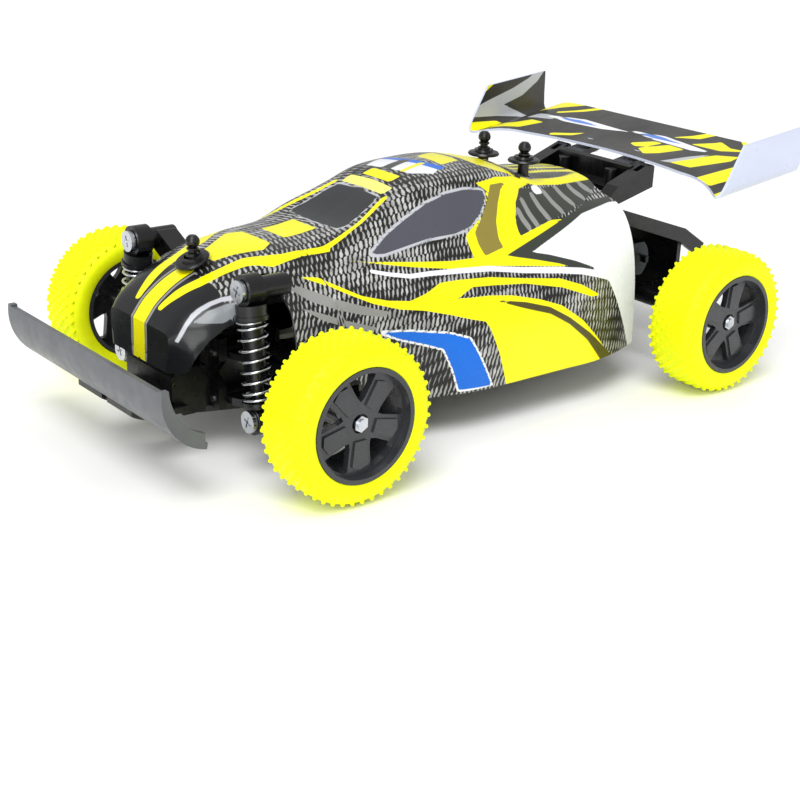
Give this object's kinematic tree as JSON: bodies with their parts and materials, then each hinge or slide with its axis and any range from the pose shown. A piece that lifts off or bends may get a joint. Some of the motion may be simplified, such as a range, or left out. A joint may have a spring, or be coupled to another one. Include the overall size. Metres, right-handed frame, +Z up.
{
  "type": "remote control car",
  "caption": "Off-road radio control buggy with a printed shell, rear wing, studded tyres, sprung front arms, steering and a geared rear axle.",
  "frame": {"origin": "centre of the bounding box at ground level, under the middle of the car", "axes": "+X towards the car's left, +Y towards its tail (the nose points to -Y), +Z up"},
  "size_m": [0.1876, 0.3124, 0.1147],
  "materials": {
    "black_plastic": "satin",
    "grey_plastic": "satin",
    "shell_film": "gloss",
    "wing_film": "gloss",
    "steel": "bright",
    "spring_wire": "bright",
    "tyre_rubber": "satin",
    "rim_plastic": "satin",
    "nylon": "satin",
    "brass": "satin",
    "motor_steel": "satin",
    "board": "satin",
    "battery_wrap": "gloss",
    "servo_case": "satin"
  },
  "bodies": {
    "chassis": {"chassis_tub": "black_plastic", "front_bulkhead": "black_plastic", "front_bumper": "grey_plastic", "front_shock_tower": "black_plastic", "shock_top_screws": "steel", "front_hinge_pins": "steel", "body_posts": "black_plastic", "post_washers": "black_plastic", "body_shell": "shell_film", "rear_frame": "black_plastic", "wing_mount": "black_plastic", "rear_wing": "wing_film", "tail_cover": "black_plastic", "battery_pack": "battery_wrap", "battery_cover": "black_plastic", "circuit_board": "board", "steering_servo": "servo_case", "frame_screws": "steel", "pod_hinge_pin": "steel", "left_shock_body": "black_plastic", "right_shock_body": "black_plastic", "left_shock_spring": "spring_wire", "right_shock_spring": "spring_wire", "rear_spring": "spring_wire"},
    "left_lower_arm": {"left_lower_arm": "black_plastic", "left_shock_screw": "steel"},
    "left_upper_arm": {"left_upper_arm": "black_plastic"},
    "left_upright": {"left_upright": "black_plastic", "left_kingpin": "steel"},
    "left_knuckle": {"left_knuckle": "black_plastic", "left_stub_axle": "steel"},
    "left_front_wheel": {"left_front_tyre": "tyre_rubber", "left_front_rim": "rim_plastic"},
    "left_shock_rod": {"left_shock_rod": "black_plastic"},
    "left_tie_rod": {"left_tie_rod": "black_plastic"},
    "right_lower_arm": {"right_lower_arm": "black_plastic", "right_shock_screw": "steel"},
    "right_upper_arm": {"right_upper_arm": "black_plastic"},
    "right_upright": {"right_upright": "black_plastic", "right_kingpin": "steel"},
    "right_knuckle": {"right_knuckle": "black_plastic", "right_stub_axle": "steel"},
    "right_front_wheel": {"right_front_tyre": "tyre_rubber", "right_front_rim": "rim_plastic"},
    "right_shock_rod": {"right_shock_rod": "black_plastic"},
    "right_tie_rod": {"right_tie_rod": "black_plastic"},
    "steering_rack": {"steering_rack": "black_plastic"},
    "servo_horn": {"servo_horn": "nylon"},
    "power_switch": {"power_switch": "black_plastic"},
    "gearbox_pod": {"gearcase_left": "black_plastic", "gearcase_right": "black_plastic", "drive_motor": "motor_steel"},
    "rear_axle": {"rear_axle": "steel", "axle_gear": "nylon", "left_rear_tyre": "tyre_rubber", "right_rear_tyre": "tyre_rubber", "left_rear_rim": "rim_plastic", "right_rear_rim": "rim_plastic"},
    "reduction_gear": {"reduction_gear": "nylon"},
    "motor_pinion": {"motor_pinion": "brass"}
  },
  "joints": [
    {"name": "left_lower_arm_pivot", "type": "hinge", "parent": "chassis", "child": "left_lower_arm", "pos_m": [0.016, -0.093, 0.021], "axis": [0, -1, 0], "range_deg": [0, 9], "stiffness_Nm_per_rad": 0.4, "springref_deg": -10.03},
    {"name": "left_upper_arm_pivot", "type": "hinge", "parent": "chassis", "child": "left_upper_arm", "pos_m": [0.016, -0.093, 0.0395], "axis": [0, -1, 0], "range_deg": [0, 9.1]},
    {"name": "left_upright_pivot", "type": "hinge", "parent": "left_lower_arm", "child": "left_upright", "pos_m": [0.057, -0.093, 0.021], "axis": [0, -1, 0], "range_deg": [-9.1, 0]},
    {"name": "left_shock_slide", "type": "slide", "parent": "chassis", "child": "left_shock_rod", "axis": [-0.1548, 0, 0.9879], "range_m": [0, 0.00495], "deforming": ["left_shock_spring"]},
    {"name": "right_lower_arm_pivot", "type": "hinge", "parent": "chassis", "child": "right_lower_arm", "pos_m": [-0.016, -0.093, 0.021], "axis": [0, 1, 0], "range_deg": [0, 9], "stiffness_Nm_per_rad": 0.4, "springref_deg": -10.03},
    {"name": "right_upper_arm_pivot", "type": "hinge", "parent": "chassis", "child": "right_upper_arm", "pos_m": [-0.016, -0.093, 0.0395], "axis": [0, 1, 0], "range_deg": [0, 9.1]},
    {"name": "right_upright_pivot", "type": "hinge", "parent": "right_lower_arm", "child": "right_upright", "pos_m": [-0.057, -0.093, 0.021], "axis": [0, 1, 0], "range_deg": [-9.1, 0]},
    {"name": "right_shock_slide", "type": "slide", "parent": "chassis", "child": "right_shock_rod", "axis": [0.1548, 0, 0.9879], "range_m": [0, 0.00495], "deforming": ["right_shock_spring"]},
    {"name": "left_steering", "type": "hinge", "parent": "left_upright", "child": "left_knuckle", "pos_m": [0.063, -0.093, 0.032], "axis": [0, 0, 1], "range_deg": [-22, 22]},
    {"name": "right_steering", "type": "hinge", "parent": "right_upright", "child": "right_knuckle", "pos_m": [-0.063, -0.093, 0.032], "axis": [0, 0, 1], "range_deg": [-22.1, 22.1]},
    {"name": "rack_slide", "type": "slide", "parent": "chassis", "child": "steering_rack", "axis": [1, 0, 0], "range_m": [-0.0064, 0.0064]},
    {"name": "servo_horn_spin", "type": "hinge", "parent": "chassis", "child": "servo_horn", "pos_m": [0, -0.055, 0.034], "axis": [0, 0, 1], "range_deg": [-29.41, 29.41]},
    {"name": "left_tie_rod_pivot", "type": "hinge", "parent": "steering_rack", "child": "left_tie_rod", "pos_m": [0.022, -0.076, 0.031], "axis": [0, -1, 0], "range_deg": [0, 9.1]},
    {"name": "left_front_wheel_spin", "type": "hinge", "parent": "left_knuckle", "child": "left_front_wheel", "pos_m": [0.0815, -0.093, 0.032], "axis": [1, 0, 0], "continuous": true},
    {"name": "right_tie_rod_pivot", "type": "hinge", "parent": "steering_rack", "child": "right_tie_rod", "pos_m": [-0.022, -0.076, 0.031], "axis": [0, 1, 0], "range_deg": [0, 9.1]},
    {"name": "right_front_wheel_spin", "type": "hinge", "parent": "right_knuckle", "child": "right_front_wheel", "pos_m": [-0.0815, -0.093, 0.032], "axis": [1, 0, 0], "continuous": true},
    {"name": "gearbox_pod_pivot", "type": "hinge", "parent": "chassis", "child": "gearbox_pod", "pos_m": [0, 0.066, 0.024], "axis": [1, 0, 0], "range_deg": [0, 8], "stiffness_Nm_per_rad": 1.2, "springref_deg": -12.61, "deforming": ["rear_spring"]},
    {"name": "rear_axle_spin", "type": "hinge", "parent": "gearbox_pod", "child": "rear_axle", "pos_m": [0, 0.116, 0.032], "axis": [1, 0, 0], "continuous": true},
    {"name": "reduction_gear_spin", "type": "hinge", "parent": "gearbox_pod", "child": "reduction_gear", "pos_m": [0, 0.1019, 0.03713], "axis": [1, 0, 0], "continuous": true},
    {"name": "motor_pinion_spin", "type": "hinge", "parent": "gearbox_pod", "child": "motor_pinion", "pos_m": [0, 0.10642, 0.04953], "axis": [1, 0, 0], "continuous": true},
    {"name": "power_switch_slide", "type": "slide", "parent": "chassis", "child": "power_switch", "axis": [0, 1, 0], "range_m": [0, 0.003]}
  ],
  "couplings": [
    {"joint": "left_upper_arm_pivot", "follows": "left_lower_arm_pivot", "ratio": 1},
    {"joint": "left_upright_pivot", "follows": "left_lower_arm_pivot", "ratio": -1},
    {"joint": "left_shock_slide", "follows": "left_lower_arm_pivot", "m_per_rad": 0.031397},
    {"joint": "right_upper_arm_pivot", "follows": "right_lower_arm_pivot", "ratio": 1},
    {"joint": "right_upright_pivot", "follows": "right_lower_arm_pivot", "ratio": -1},
    {"joint": "right_shock_slide", "follows": "right_lower_arm_pivot", "m_per_rad": 0.031397},
    {"joint": "right_steering", "follows": "left_steering", "ratio": 1},
    {"joint": "rack_slide", "follows": "left_steering", "m_per_rad": -0.01659},
    {"joint": "servo_horn_spin", "follows": "left_steering", "ratio": -1.3324},
    {"joint": "left_tie_rod_pivot", "follows": "left_lower_arm_pivot", "ratio": 1},
    {"joint": "right_tie_rod_pivot", "follows": "right_lower_arm_pivot", "ratio": 1},
    {"joint": "reduction_gear_spin", "follows": "rear_axle_spin", "ratio": -3.1667},
    {"joint": "motor_pinion_spin", "follows": "rear_axle_spin", "ratio": 10.767}
  ]
}
